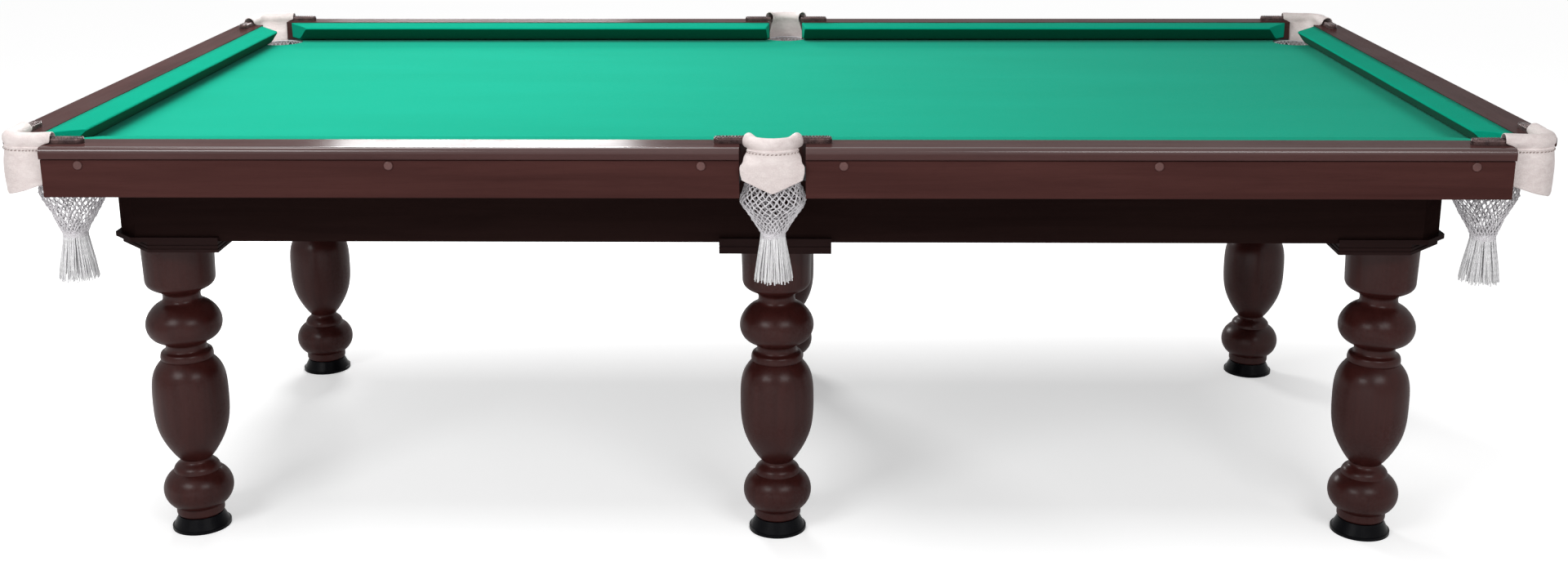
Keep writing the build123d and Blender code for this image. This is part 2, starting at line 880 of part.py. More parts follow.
def foot_stud():
    """Screw stud with a ball that swivels in the pad and a hexagon for a spanner."""
    stud = Pos(0, 0, swivel_height) * Sphere(swivel_radius)
    stud += upright(stud_neck_radius, swivel_height, foot_height)
    stud += hex_bar(hex_width, foot_height, hex_top)
    return stud + upright(stud_radius, hex_top, stud_top)


def moved(shape, x, y):
    return Pos(x, y, 0) * shape


def group(pieces):
    """Separate solids that share one node."""
    return Compound(children=[solid for piece in pieces for solid in piece.solids()])


def table_nodes():
    """Every node of the table by name."""
    nodes = {}
    rail = long_rail()
    end = end_rail()
    for column, x_side in SIDES_X.items():
        nodes["rail_" + column + "_end"] = on_side(end, x_side, 1)
        for row, y_side in SIDES_Y.items():
            nodes["rail_" + row + "_" + column] = on_side(rail, x_side, y_side)

    rubber = (long_cushion(cloth_thickness), end_cushion(cloth_thickness))
    cover = (long_cushion(0) - rubber[0], end_cushion(0) - rubber[1])
    nodes["cushion_rubbers"] = group(six_sides(*rubber))
    nodes["cushion_cloths"] = group(six_sides(*cover))
    nodes["fascia_boards"] = group(six_sides(long_fascia(), end_fascia()))
    long_screws = group([spot * fascia_screw(0) for spot in long_screw_spots()])
    end_screws = group([spot * fascia_screw(0) for spot in end_screw_spots()])
    nodes["fascia_screws"] = group(six_sides(long_screws, end_screws))
    long_caps = group([spot * screw_cap() for spot in long_screw_spots()])
    end_caps = group([spot * screw_cap() for spot in end_screw_spots()])
    nodes["fascia_screw_caps"] = group(six_sides(long_caps, end_caps))
    nodes["rail_bolts"] = group(six_sides(long_bolt_group(0), end_bolt_group(0)))

    for name, slate in zip(COLUMNS, drilled_slates()):
        nodes["slate_" + name] = slate
    nodes["slate_screws"] = group([spot * slate_screw(0) for spot in slate_screw_spots()])
    nodes["bed_cloth"] = bed_cloth()

    nodes["frame_long_beams"] = group(long_beams())
    nodes["frame_end_beams"] = group(end_beams())
    nodes["frame_cross_beams"] = group(cross_beams())
    nodes["frame_leg_blocks"] = group(leg_blocks())
    nodes["leg_plates"] = group([leg_plate(x, y) for x in COLUMNS.values() for y in SIDES_Y.values()])

    turned_leg = leg()
    pad = foot_pad()
    stud = foot_stud()
    spots = leg_spots()
    for name, (x, y) in spots.items():
        nodes["leg_" + name] = moved(turned_leg, x, y)
        nodes["foot_pad_" + name] = moved(pad, x, y)
        nodes["foot_stud_" + name] = moved(stud, x, y)
    nodes["leg_inserts"] = group([moved(leg_insert(), x, y) for x, y in spots.values()])
    bolts = [moved(leg_bolt(), x, y) for x, y in spots.values()]
    nuts = [moved(leg_nut(), x, y) for x, y in spots.values()]
    nodes["leg_bolts"] = group(bolts + nuts)

    corner_pieces = {"iron": corner_iron(0), "leather": corner_leather(), "net": pocket_net(corner_net_drop)}
    side_pieces = {"iron": side_iron(0), "leather": side_leather(), "net": pocket_net(side_net_drop)}
    for row, y_side in SIDES_Y.items():
        for column, x_side in COLUMNS.items():
            pieces = corner_pieces if x_side else side_pieces
            turn = math.degrees(math.atan2(y_side, x_side))
            y = y_side * (corner_y if x_side else side_y)
            place = Pos(x_side * corner_x, y, 0) * Rot(0, 0, turn)
            for kind, piece in pieces.items():
                name = "pocket_" + kind + "_" + row + "_" + column
                nodes[name] = group([place * solid for solid in piece.solids()])
    return nodes


os.makedirs("parts", exist_ok=True)
for node_name, shape in table_nodes().items():
    export_step(shape, "parts/" + node_name + ".step")
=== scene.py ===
import math
import random

import bpy
from mathutils import Matrix, Vector, noise


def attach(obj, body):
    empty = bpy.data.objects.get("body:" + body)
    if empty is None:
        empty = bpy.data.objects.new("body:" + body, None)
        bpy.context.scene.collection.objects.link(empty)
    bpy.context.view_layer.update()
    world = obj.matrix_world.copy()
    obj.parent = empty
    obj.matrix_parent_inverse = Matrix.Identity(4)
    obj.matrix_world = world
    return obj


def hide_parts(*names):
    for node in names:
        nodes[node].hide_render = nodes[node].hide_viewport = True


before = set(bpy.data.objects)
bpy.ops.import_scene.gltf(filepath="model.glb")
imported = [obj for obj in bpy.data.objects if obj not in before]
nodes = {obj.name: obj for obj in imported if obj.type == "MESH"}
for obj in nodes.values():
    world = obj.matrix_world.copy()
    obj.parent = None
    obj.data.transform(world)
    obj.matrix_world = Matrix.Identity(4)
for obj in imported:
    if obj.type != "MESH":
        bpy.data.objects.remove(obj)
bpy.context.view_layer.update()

# Sizes of the model that the looks are fitted to, in metres
BED = 0.807
NOSE_X, NOSE_Y = 1.270, 0.635
CUSHION_DEPTH = 0.055
WOOD_X, WOOD_Y = NOSE_X + CUSHION_DEPTH, NOSE_Y + CUSHION_DEPTH
SLATE_X, SLATE_Y = 1.371, 0.736
FASCIA_INSIDE_X = 1.3725
CORNER_X, CORNER_Y, SIDE_Y = 1.280, 0.645, 0.712
CORNER_MOUTH, SIDE_MOUTH = 0.078, 0.098
RAIL_THROAT, SLATE_THROAT = 0.0465, 0.050
SIDE_GAP = 0.058
RAIL_TOP, IRON_Z, IRON_TOP = 0.850, 0.855, 0.860
CORNER_BOW, CORNER_BEND, CORNER_STRAIGHT, SIDE_BOW = 0.077, 0.035, 0.042, 0.045
NOSING_Y, NOSING_Z, NOSING_FADE = 0.747, 0.838, 0.005

# Leathers: the roll's radius, half lengths along the bow, the flap's drop and rise, lift of the roll's ends
LEATHERS = {
    "corner": {"roll": 0.014, "lining": 0.0665, "over": 0.0815, "seam": 0.0640, "flap": 0.0668,
               "drop": 0.0985, "rise": 0.022, "horn": 0.0012},
    "side": {"roll": 0.012, "lining": 0.0520, "over": 0.0555, "seam": 0.0440, "flap": 0.0600,
             "drop": 0.0855, "rise": 0.024, "horn": 0.0045},
}
LINING_TURN = math.radians(42.5)
LINING_HEIGHTS = (0.8015, 0.8085, 0.8170, 0.8260, 0.8350, 0.8430)
SEAM_OUT, SEAM_DOWN = 0.72, 0.70
SEAM_FOLD = ((0.0, 0.0), (0.0002, 0.0012), (0.0020, 0.0022), (0.0024, 0.0034), (0.0012, 0.0046),
             (0.0014, 0.0057))
HIDE = 0.0022
STITCH_PITCH, STITCH_RADII = 0.0058, (0.0004, 0.0008, 0.0009, 0.0008, 0.0004)

# Nets and tassels
NET_RIM, NET_TOP, SLATE_BOTTOM = 0.0497, 0.800, 0.781
NET_COLUMNS, NET_BANDS = 28, 18
BULGE_RADIUS, BULGE_Z = 0.0590, 0.745
WAIST_RADIUS, WAIST_Z = 0.0205, {"corner": 0.665, "side": 0.685}
BIND_TURNS, BIND_STEPS, BIND_HALF = 5, 20, 0.006
TASSEL_RINGS = ((16, 0.30, 0.25), (32, 0.60, 0.58), (54, 0.82, 0.84), (84, 0.97, 1.0))
TASSEL_LENGTH, TASSEL_SPREAD, TASSEL_TUCK, TASSEL_STEPS = 0.088, 0.0345, 0.008, 7

# Relief on the irons: start and end along an arm, and half its width to the beads
ARMS = {"corner": (0.015, 0.068), "side": (0.050, 0.104)}
BEAD_REACH, RIB_STEPS, RELIEF_SINK = 0.0072, 40, 0.0006

# Stage: glow of the floor under the table, kept low there as a painted shadow, and round it
FLOOR_SHADOW_GLOW, FLOOR_FAR = 0.34, 0.70


def pockets():
    """Name and kind of each pocket, and its place turned outwards."""
    for row, y_side in (("front", -1), ("back", 1)):
        for column, x_side in (("left", -1), ("middle", 0), ("right", 1)):
            y = CORNER_Y if x_side else SIDE_Y
            place = Matrix.Translation((x_side * CORNER_X, y_side * y, 0))
            turn = Matrix.Rotation(math.atan2(y_side, x_side), 4, "Z")
            yield f"{row}_{column}", "corner" if x_side else "side", place @ turn


# Shader helpers

def srgb(*levels):
    """A screen colour as the linear colour that a shader takes."""
    shares = [level / 255 for level in levels]
    return tuple(s / 12.92 if s <= 0.04045 else ((s + 0.055) / 1.055) ** 2.4 for s in shares) + (1,)


def feed(tree, socket, value):
    if isinstance(value, bpy.types.NodeSocket):
        tree.links.new(value, socket)
    else:
        socket.default_value = value


def add(tree, kind, values=(), **settings):
    """A node with its settings made and its sockets fed, by name or by number."""
    made = tree.nodes.new("ShaderNode" + kind)
    for name, value in settings.items():
        setattr(made, name, value)
    for name, value in dict(values).items():
        feed(tree, made.inputs[name], value)
    return made


def calc(tree, operation, *values):
    return add(tree, "Math", dict(enumerate(values)), operation=operation).outputs[0]


def mixed(tree, share, first, second):
    return add(tree, "Mix", {0: share, 6: first, 7: second}, data_type="RGBA").outputs[2]


def ranged(tree, value, low, high, to_low=0.0, to_high=1.0):
    names = ("Value", "From Min", "From Max", "To Min", "To Max")
    return add(tree, "MapRange", dict(zip(names, (value, low, high, to_low, to_high)))).outputs[0]


def speckle(tree, place, scale, detail=3.0, roughness=0.55, distortion=0.0):
    """Soft noise from nought to one at a place."""
    values = {"Vector": place, "Scale": scale, "Detail": detail, "Roughness": roughness,
              "Distortion": distortion}
    return add(tree, "TexNoise", values).outputs[0]


def stretched(tree, place, scale):
    return add(tree, "Mapping", {"Vector": place, "Scale": scale}).outputs[0]


def object_place(tree):
    return add(tree, "TexCoord").outputs["Object"]


def bumped(tree, height, depth):
    return add(tree, "Bump", {"Height": height, "Distance": depth}).outputs[0]


def effect(name, inputs, outputs):
    """An empty shader group with named sockets: its tree, what it is given and what it gives."""
    tree = bpy.data.node_groups.new(name, "ShaderNodeTree")
    for socket, kind, start in inputs:
        made = tree.interface.new_socket(socket, in_out="INPUT", socket_type="NodeSocket" + kind)
        if start is not None:
            made.default_value = start
    for socket, kind in outputs:
        tree.interface.new_socket(socket, in_out="OUTPUT", socket_type="NodeSocket" + kind)
    return tree, tree.nodes.new("NodeGroupInput").outputs, tree.nodes.new("NodeGroupOutput").inputs


def use(tree, group, **values):
    """Places a shader group in a material and gives its outputs."""
    made = tree.nodes.new("ShaderNodeGroup")
    made.node_tree = group
    for name, value in values.items():
        feed(tree, made.inputs[name], value)
    return made.outputs


def finish(name, **constants):
    """A new material: itself, its tree and the sockets of its shader."""
    material = bpy.data.materials.new(name)
    material.use_nodes = True
    tree = material.node_tree
    tree.nodes.clear()
    values = {key.replace("_", " "): value for key, value in constants.items()}
    shader = add(tree, "BsdfPrincipled", values)
    add(tree, "OutputMaterial", {"Surface": shader.outputs[0]})
    return material, tree, shader.inputs


# Effects shared by the finishes

def make_wood_grain():
    """Stained grain along the first axis of the place: streaks, pores and slow shade."""
    tree, given, gives = effect(
        "wood_grain",
        [("Place", "Vector", None), ("Dark", "Color", (0.02, 0.01, 0.01, 1)),
         ("Light", "Color", (0.08, 0.04, 0.04, 1)), ("Pores", "Float", 0.5)],
        [("Color", "Color"), ("Height", "Float")],
    )
    streak = speckle(tree, stretched(tree, given["Place"], (2.2, 46, 46)), 1.0, 6.0, 0.62, 0.7)
    flame = speckle(tree, stretched(tree, given["Place"], (0.8, 7, 7)), 1.0, 3.0, 0.5, 1.6)
    pore = speckle(tree, stretched(tree, given["Place"], (38, 900, 900)), 1.0, 2.0)
    pore = ranged(tree, pore, 0.56, 0.7)
    share = calc(tree, "MULTIPLY_ADD", streak, 0.65, calc(tree, "MULTIPLY", flame, 0.35))
    color = mixed(tree, ranged(tree, share, 0.3, 0.7), given["Dark"], given["Light"])
    depth = calc(tree, "MULTIPLY", pore, given["Pores"])
    feed(tree, gives["Color"], mixed(tree, depth, color, given["Dark"]))
    feed(tree, gives["Height"], calc(tree, "SUBTRACT", calc(tree, "MULTIPLY", streak, 0.4), depth))
    return tree


def make_soft_wear():
    """Handling marks: broad dull patches with fine scuffs in them."""
    tree, given, gives = effect(
        "soft_wear",
        [("Place", "Vector", None), ("Scale", "Float", 8.0), ("Amount", "Float", 0.5)],
        [("Mask", "Float"), ("Height", "Float")],
    )
    broad = ranged(tree, speckle(tree, given["Place"], given["Scale"], 4.0), 0.4, 0.75)
    fine = speckle(tree, given["Place"], calc(tree, "MULTIPLY", given["Scale"], 24.0), 3.0, 0.7)
    mask = calc(tree, "MULTIPLY", broad, ranged(tree, fine, 0.35, 0.7))
    feed(tree, gives["Mask"], calc(tree, "MULTIPLY", mask, given["Amount"]))
    feed(tree, gives["Height"], fine)
    return tree


def make_napped_weave():
    """Close plain weave under a brushed nap."""
    tree, given, gives = effect(
        "napped_weave",
        [("Place", "Vector", None), ("Dark", "Color", (0.0, 0.1, 0.08, 1)),
         ("Light", "Color", (0.02, 0.3, 0.22, 1)), ("Thread", "Float", 0.0011)],
        [("Color", "Color"), ("Height", "Float"), ("Roughness", "Float")],
    )
    axes = add(tree, "SeparateXYZ", {0: given["Place"]}).outputs
    turns = calc(tree, "DIVIDE", math.tau, given["Thread"])
    weft = calc(tree, "SINE", calc(tree, "MULTIPLY", axes[0], turns))
    warp = calc(tree, "SINE", calc(tree, "MULTIPLY", axes[1], turns))
    upright = calc(tree, "SINE", calc(tree, "MULTIPLY", axes[2], turns))
    cross = calc(tree, "MULTIPLY", weft, calc(tree, "ADD", warp, upright))
    nap = speckle(tree, stretched(tree, given["Place"], (520, 900, 900)), 1.0, 3.0, 0.6)
    brushed = speckle(tree, stretched(tree, given["Place"], (2.0, 9.0, 9.0)), 1.0, 4.0, 0.55)
    share = calc(tree, "MULTIPLY_ADD", brushed, 0.3, calc(tree, "MULTIPLY", nap, 0.7))
    tone = ranged(tree, share, 0.25, 0.75)
    feed(tree, gives["Color"], mixed(tree, tone, given["Dark"], given["Light"]))
    feed(tree, gives["Height"], calc(tree, "MULTIPLY_ADD", cross, 0.25, nap))
    feed(tree, gives["Roughness"], ranged(tree, nap, 0.3, 0.7, 0.56, 0.74))
    return tree


def make_yarn_lay():
    """Plies of a twisted yarn from its lay: length along it, then share round it."""
    tree, given, gives = effect(
        "yarn_lay",
        [("Lay", "Vector", None), ("Pitch", "Float", 0.006), ("Dark", "Color", (0.2, 0.2, 0.2, 1)),
         ("Light", "Color", (0.7, 0.7, 0.7, 1))],
        [("Color", "Color"), ("Height", "Float")],
    )
    axes = add(tree, "SeparateXYZ", {0: given["Lay"]}).outputs
    along = calc(tree, "DIVIDE", axes[0], given["Pitch"])
    plies = calc(tree, "MULTIPLY_ADD", axes[1], 3.0, along)
    ridge = calc(tree, "ABSOLUTE", calc(tree, "SINE", calc(tree, "MULTIPLY", plies, math.pi)))
    fluff = speckle(tree, stretched(tree, given["Lay"], (900, 14, 1)), 1.0, 3.0, 0.7)
    # Painted shade: the colour is darker in the grooves between the plies, with random fluff.
    shade = calc(tree, "MULTIPLY_ADD", ridge, 0.7, calc(tree, "MULTIPLY", fluff, 0.5))
    tone = ranged(tree, shade, 0.15, 0.8)
    feed(tree, gives["Color"], mixed(tree, tone, given["Dark"], given["Light"]))
    feed(tree, gives["Height"], shade)
    return tree


WOOD_GRAIN = make_wood_grain()
SOFT_WEAR = make_soft_wear()
NAPPED_WEAVE = make_napped_weave()
YARN_LAY = make_yarn_lay()


# Finishes

def grain_place(tree, first):
    """The place with the grain's axis put first: X, Y, Z, or along each fascia board."""
    axes = add(tree, "SeparateXYZ", {0: object_place(tree)}).outputs
    if first == "boards":
        at_end = calc(tree, "GREATER_THAN", calc(tree, "ABSOLUTE", axes[0]), FASCIA_INSIDE_X)
        step = calc(tree, "MULTIPLY", calc(tree, "SUBTRACT", axes[1], axes[0]), at_end)
        order = (calc(tree, "ADD", axes[0], step), calc(tree, "SUBTRACT", axes[1], step), axes[2])
    else:
        start = "XYZ".index(first)
        order = [axes[(start + turn) % 3] for turn in range(3)]
    return add(tree, "CombineXYZ", dict(enumerate(order))).outputs[0]


def lacquered(name, first, dark, light, coat, rough, nosed=False):
    """Stained wood under lacquer, duller where hands have rubbed it and bright along a rail's nosing."""
    material, tree, shader = finish(name, Specular_IOR_Level=0.0, Coat_Roughness=rough)
    place = grain_place(tree, first)
    grain = use(tree, WOOD_GRAIN, Place=place, Dark=srgb(*dark), Light=srgb(*light), Pores=0.35)
    wear = use(tree, SOFT_WEAR, Place=object_place(tree), Scale=7.0, Amount=0.6)
    gloss = ranged(tree, wear["Mask"], 0.0, 0.6, coat, 0.4 * coat)
    if nosed:
        axes = add(tree, "SeparateXYZ", {0: place}).outputs
        out = ranged(tree, calc(tree, "ABSOLUTE", axes[1]), NOSING_Y, NOSING_Y + NOSING_FADE)
        high = ranged(tree, axes[2], NOSING_Z, NOSING_Z + NOSING_FADE)
        gloss = calc(tree, "MAXIMUM", gloss, calc(tree, "MULTIPLY", out, high))
    feed(tree, shader["Base Color"], grain["Color"])
    feed(tree, shader["Roughness"], ranged(tree, wear["Mask"], 0.0, 0.5, 0.4, 0.55))
    feed(tree, shader["Coat Weight"], gloss)
    feed(tree, shader["Normal"], bumped(tree, grain["Height"], 0.00003))
    return material


def billiard_cloth(name, dark, light, sheen, under=None):
    """Green wool cloth with a short nap, with painted shade: a darker colour on faces that look down."""
    material, tree, shader = finish(
        name, Specular_IOR_Level=0.0, Sheen_Weight=sheen, Sheen_Roughness=0.4,
        Sheen_Tint=srgb(185, 245, 225))
    weave = use(tree, NAPPED_WEAVE, Place=object_place(tree), Dark=srgb(*dark), Light=srgb(*light))
    color = weave["Color"]
    if under is not None:
        # Painted shade: faces that look down take the darker under colour.
        normal = add(tree, "NewGeometry").outputs["Normal"]
        upward = add(tree, "SeparateXYZ", {0: normal}).outputs[2]
        color = mixed(tree, ranged(tree, upward, -0.4, 0.0), srgb(*under), color)
    feed(tree, shader["Base Color"], color)
    feed(tree, shader["Roughness"], weave["Roughness"])
    feed(tree, shader["Normal"], bumped(tree, weave["Height"], 0.00016))
    return material


def pocket_leather():
    """Pale hide: fine pebbles, long creases and grey handling marks."""
    material, tree, shader = finish("pocket_leather", Specular_IOR_Level=0.3)
    place = object_place(tree)
    cell = add(tree, "TexVoronoi", {"Vector": place, "Scale": 620.0}, feature="SMOOTH_F1").outputs[0]
    crease = speckle(tree, stretched(tree, place, (38, 38, 90)), 1.0, 5.0, 0.65, 0.8)
    wear = use(tree, SOFT_WEAR, Place=place, Scale=16.0, Amount=0.8)
    hide = mixed(tree, ranged(tree, crease, 0.3, 0.75), srgb(222, 208, 206), srgb(244, 234, 231))
    feed(tree, shader["Base Color"], mixed(tree, wear["Mask"], hide, srgb(190, 175, 172)))
    feed(tree, shader["Roughness"], ranged(tree, cell, 0.0, 0.7, 0.42, 0.6))
    pebble = calc(tree, "MULTIPLY_ADD", crease, 1.6, cell)
    feed(tree, shader["Normal"], bumped(tree, pebble, 0.0005))
    return material


def yarn(name, dark, light, pitch, depth):
    """Twisted yarn, its plies from the lay of each strand."""
    material, tree, shader = finish(name, Specular_IOR_Level=0.15, Sheen_Weight=0.2, Roughness=0.8)
    lay = add(tree, "TexCoord").outputs["UV"]
    plies = use(tree, YARN_LAY, Lay=lay, Pitch=pitch, Dark=srgb(*dark), Light=srgb(*light))
    tone = speckle(tree, object_place(tree), 140.0, 2.0)
    shade = mixed(tree, ranged(tree, tone, 0.35, 0.7, 0.0, 0.5), plies["Color"], srgb(*dark))
    feed(tree, shader["Base Color"], shade)
    feed(tree, shader["Normal"], bumped(tree, plies["Height"], depth))
    return material


def cast_iron():
    """Dark bronzed casting, bare and bright where it is rubbed."""
    material, tree, shader = finish("cast_iron", Specular_IOR_Level=0.5)
    place = object_place(tree)
    skin = speckle(tree, place, 420.0, 4.0, 0.6)
    wear = use(tree, SOFT_WEAR, Place=place, Scale=60.0, Amount=0.9)
    feed(tree, shader["Base Color"], mixed(tree, wear["Mask"], srgb(58, 40, 40), srgb(150, 120, 116)))
    feed(tree, shader["Metallic"], ranged(tree, wear["Mask"], 0.0, 0.7, 0.35, 0.9))
    feed(tree, shader["Roughness"], ranged(tree, skin, 0.3, 0.7, 0.22, 0.4))
    feed(tree, shader["Normal"], bumped(tree, skin, 0.0004))
    return material


def moulded(name, color, scale, rough, shine=0.35):
    """Moulded plastic or rubber with a fine spark-eroded skin."""
    material, tree, shader = finish(name, Specular_IOR_Level=shine)
    place = object_place(tree)
    skin = speckle(tree, place, scale, 2.0, 0.7)
    wear = use(tree, SOFT_WEAR, Place=place, Scale=30.0, Amount=0.5)
    paler = tuple(min(255, 1.5 * level + 14) for level in color)
    feed(tree, shader["Base Color"], mixed(tree, wear["Mask"], srgb(*color), srgb(*paler)))
    feed(tree, shader["Roughness"], ranged(tree, skin, 0.3, 0.7, rough - 0.06, rough + 0.08))
    feed(tree, shader["Normal"], bumped(tree, skin, 0.00015))
    return material


def plain_metal(name, color, rough):
    """Bright fixing steel with a drawn finish."""
    material, tree, shader = finish(name, Metallic=1.0)
    place = object_place(tree)
    drawn = speckle(tree, stretched(tree, place, (900, 900, 60)), 1.0, 3.0)
    wear = use(tree, SOFT_WEAR, Place=place, Scale=40.0, Amount=0.6)
    feed(tree, shader["Base Color"], mixed(tree, wear["Mask"], srgb(*color), srgb(92, 86, 80)))
    feed(tree, shader["Roughness"], ranged(tree, drawn, 0.3, 0.7, rough - 0.08, rough + 0.1))
    feed(tree, shader["Normal"], bumped(tree, drawn, 0.0001))
    return material


def honed_slate():
    """Grey slate with thin cleavage layers."""
    material, tree, shader = finish("honed_slate", Specular_IOR_Level=0.25)
    place = object_place(tree)
    layers = speckle(tree, stretched(tree, place, (6, 6, 420)), 1.0, 5.0, 0.6, 0.4)
    wear = use(tree, SOFT_WEAR, Place=place, Scale=12.0, Amount=0.7)
    stone = mixed(tree, ranged(tree, layers, 0.3, 0.7), srgb(70, 73, 77), srgb(112, 115, 118))
    feed(tree, shader["Base Color"], mixed(tree, wear["Mask"], stone, srgb(140, 142, 142)))
    feed(tree, shader["Roughness"], ranged(tree, layers, 0.3, 0.7, 0.6, 0.8))
    feed(tree, shader["Normal"], bumped(tree, layers, 0.0004))
    return material


RAIL_DARK, RAIL_LIGHT = (64, 40, 39), (84, 56, 54)
BOARD_DARK, BOARD_LIGHT = (62, 35, 33), (80, 48, 45)
LEG_DARK, LEG_LIGHT = (46, 18, 16), (62, 28, 25)
PLATE_DARK, PLATE_LIGHT = (36, 23, 22), (46, 30, 29)
BEAM_DARK, BEAM_LIGHT = (34, 22, 21), (46, 31, 29)

LEATHER = pocket_leather()
NET_YARN = yarn("net_yarn", (196, 190, 194), (246, 244, 247), 0.005, 0.0004)
TASSEL_YARN = yarn("tassel_yarn", (230, 228, 231), (254, 254, 254), 0.011, 0.0004)
STITCH_THREAD = yarn("stitch_thread", (122, 105, 100), (172, 156, 150), 0.003, 0.0002)
IRON = cast_iron()
BED_CLOTH = billiard_cloth("bed_cloth", (8, 160, 129), (20, 178, 148), 0.12)
# The last colour is painted shade for the cushions' undercut faces.
CUSHION_CLOTH = billiard_cloth("cushion_cloth", (6, 152, 122), (16, 170, 140), 0.06, (2, 82, 63))
RAIL_X = lacquered("rail_lacquer_long", "X", RAIL_DARK, RAIL_LIGHT, 0.20, 0.20, True)
RAIL_Y = lacquered("rail_lacquer_end", "Y", RAIL_DARK, RAIL_LIGHT, 0.14, 0.20)
BOARDS = lacquered("fascia_lacquer", "boards", BOARD_DARK, BOARD_LIGHT, 0.06, 0.25)
LEG_WOOD = lacquered("leg_lacquer", "Z", LEG_DARK, LEG_LIGHT, 0.37, 0.30)
PLATE_WOOD = lacquered("plate_lacquer", "X", PLATE_DARK, PLATE_LIGHT, 0.05, 0.25)
BEAM_X = lacquered("beam_stain_long", "X", BEAM_DARK, BEAM_LIGHT, 0.0, 0.3)
BEAM_Y = lacquered("beam_stain_end", "Y", BEAM_DARK, BEAM_LIGHT, 0.0, 0.3)
BLACK_PLASTIC = moulded("foot_plastic", (10, 10, 13), 1500.0, 0.26, 0.05)
CAP_PLASTIC = moulded("cap_plastic", (86, 55, 52), 900.0, 0.4)
RUBBER = moulded("cushion_rubber", (44, 42, 40), 700.0, 0.7, 0.2)
STEEL = plain_metal("fixing_steel", (168, 166, 162), 0.38)
SLATE = honed_slate()

NODE_FINISHES = {
    "rail_left_end": RAIL_Y, "rail_right_end": RAIL_Y, "rail_bolts": STEEL, "rail_": RAIL_X,
    "fascia_boards": BOARDS, "fascia_screws": STEEL, "fascia_screw_caps": CAP_PLASTIC,
    "cushion_rubbers": RUBBER, "slate_screws": STEEL, "slate_": SLATE,
    "frame_end_beams": BEAM_Y, "frame_cross_beams": BEAM_Y, "frame_": BEAM_X,
    "leg_plates": PLATE_WOOD, "leg_bolts": STEEL, "leg_inserts": STEEL, "leg_": LEG_WOOD,
    "foot_pad_": BLACK_PLASTIC, "foot_stud_": STEEL, "pocket_iron_": IRON,
    "pocket_leather_": LEATHER, "pocket_net_": NET_YARN, "bed_cloth": BED_CLOTH,
    "cushion_cloths": CUSHION_CLOTH,
}


def finish_for(name):
    """The finish of a node by the longest start of its name that is listed."""
    starts = [start for start in NODE_FINISHES if name.startswith(start)]
    return NODE_FINISHES[max(starts, key=len)]


for name, node in nodes.items():
    node.data.materials.clear()
    node.data.materials.append(finish_for(name))


# Mesh helpers

class Pile:
    """Points and faces of a piece under way, each face corner with its lay along and round."""

    def __init__(self):
        self.points = []
        self.faces = []
        self.lays = []

    def skin(self, rows, closed=False, lengths=None):
        """Faces between rows of points of equal count."""
        start, width = len(self.points), len(rows[0])
        lengths = lengths or [index / len(rows) for index in range(len(rows))]
        for row in rows:
            self.points.extend(row)
        for r in range(len(rows) - 1):
            for c in range(width if closed else width - 1):
                near, far = start + r * width, start + (r + 1) * width
                after = (c + 1) % width
                self.faces.append((near + c, near + after, far + after, far + c))
                left, right = c / width, (c + 1) / width
                self.lays.append(((lengths[r], left), (lengths[r], right),
                                  (lengths[r + 1], right), (lengths[r + 1], left)))

    def cap(self, ring):
        """One face over a ring of points."""
        start = len(self.points)
        self.points.extend(ring)
        self.faces.append(tuple(range(start, start + len(ring))))
        self.lays.append(tuple((0.0, 0.0) for _ in ring))

    def tube(self, path, radii, sides, capped=True, squash=1.0, up=None):
        """A round strand along a path, its radius given at each point."""
        rings, lengths, length = [], [], 0.0
        normal = up
        for index, point in enumerate(path):
            ahead = path[min(index + 1, len(path) - 1)] - path[max(index - 1, 0)]
            tangent = ahead.normalized()
            if normal is None:
                normal = Vector((0, 0, 1)) if abs(tangent.z) < 0.9 else Vector((1, 0, 0))
            normal = (normal - tangent * normal.dot(tangent)).normalized()
            across = tangent.cross(normal)
            if index:
                length += (point - path[index - 1]).length
            lengths.append(length)
            ring = []
            for side in range(sides):
                turn = math.tau * side / sides
                reach = normal * (math.cos(turn) * squash) + across * math.sin(turn)
                ring.append(point + reach * radii[index])
            rings.append(ring)
        self.skin(rings, True, lengths)
        if capped:
            self.cap(list(reversed(rings[0])))
            self.cap(rings[-1])

    def piece(self, name, material, place=None):
        """The finished piece, put in its place and riding on the table."""
        mesh = bpy.data.meshes.new(name)
        mesh.from_pydata(self.points, [], self.faces)
        layer = mesh.uv_layers.new(name="lay")
        layer.data.foreach_set("uv", [v for face in self.lays for lay in face for v in lay])
        mesh.shade_smooth()
        mesh.materials.append(material)
        made = bpy.data.objects.new(name, mesh)
        bpy.context.scene.collection.objects.link(made)
        if place is not None:
            made.matrix_world = place
        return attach(made, "table")


def polar(radius, angle, z):
    return Vector((radius * math.cos(angle), radius * math.sin(angle), z))


def blend_share(low, high, value):
    """Smooth step from nought to one between two values."""
    share = min(max((value - low) / (high - low), 0.0), 1.0)
    return share * share * (3 - 2 * share)


def lerp(first, last, share):
    return first + (last - first) * share


# Bed cloth

def arc(centre, radius, start, end, count):
    return [Vector((centre[0] + radius * math.cos(lerp(start, end, i / count)),
                    centre[1] + radius * math.sin(lerp(start, end, i / count)), 0))
            for i in range(count + 1)]


def bed_outline():
    """Plan of the cloth for the quarter at +X +Y, from the middle of the end to the middle of the side."""
    corner = arc((CORNER_X, CORNER_Y), SLATE_THROAT, 0.0, -1.5 * math.pi, 30)
    side = arc((0, SIDE_Y), SLATE_THROAT, 0.0, -0.5 * math.pi, 14)
    edge = [Vector((SLATE_X, y, 0)) for y in (0, CORNER_Y)]
    along = [Vector((x, y, 0)) for x, y in ((CORNER_X, SLATE_Y), (SIDE_GAP, SLATE_Y), (SIDE_GAP, SIDE_Y))]
    return edge + corner + along + side


